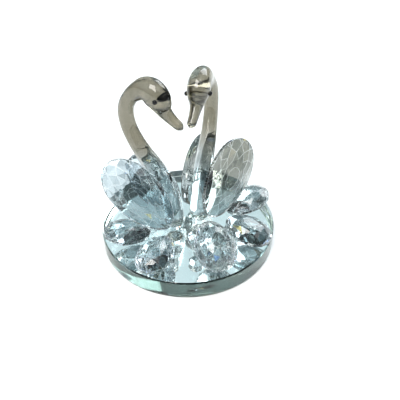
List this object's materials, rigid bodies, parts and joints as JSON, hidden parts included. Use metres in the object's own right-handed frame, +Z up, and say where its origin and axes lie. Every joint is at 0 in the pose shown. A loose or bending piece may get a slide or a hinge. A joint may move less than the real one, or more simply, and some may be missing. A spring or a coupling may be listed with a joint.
{
  "type": "crystal glass figurine",
  "caption": "Pair of clear crystal swans with necks curved into a heart, faceted wings and cut petals on a round mirrored glass base.",
  "frame": {"origin": "centre of the underside of the round base", "axes": "+Z up; the front of the piece, where the bills and the large petal are, faces -Y; +X to the right seen from the front"},
  "size_m": [0.0802, 0.08, 0.0796],
  "materials": {
    "base_glass": "polished clear glass with a faint blue-green tint",
    "mirror": "silvered backing",
    "swan_glass": "flame-worked clear glass with a smoky taupe cast",
    "cut_crystal": "machine-cut lead crystal, polished facets",
    "eye_glass": "glossy black bead"
  },
  "bodies": {
    "root": {"base_disc": "base_glass", "mirror_backing": "mirror", "left_neck": "swan_glass", "right_neck": "swan_glass", "left_front_wing": "cut_crystal", "right_front_wing": "cut_crystal", "left_rear_wing": "cut_crystal", "right_rear_wing": "cut_crystal", "left_eye_front": "eye_glass", "left_eye_rear": "eye_glass", "right_eye_front": "eye_glass", "right_eye_rear": "eye_glass", "left_side_petal": "cut_crystal", "left_front_petal": "cut_crystal", "front_petal": "cut_crystal", "right_front_petal": "cut_crystal", "right_side_petal": "cut_crystal", "centre_bead": "cut_crystal"}
  },
  "joints": []
}
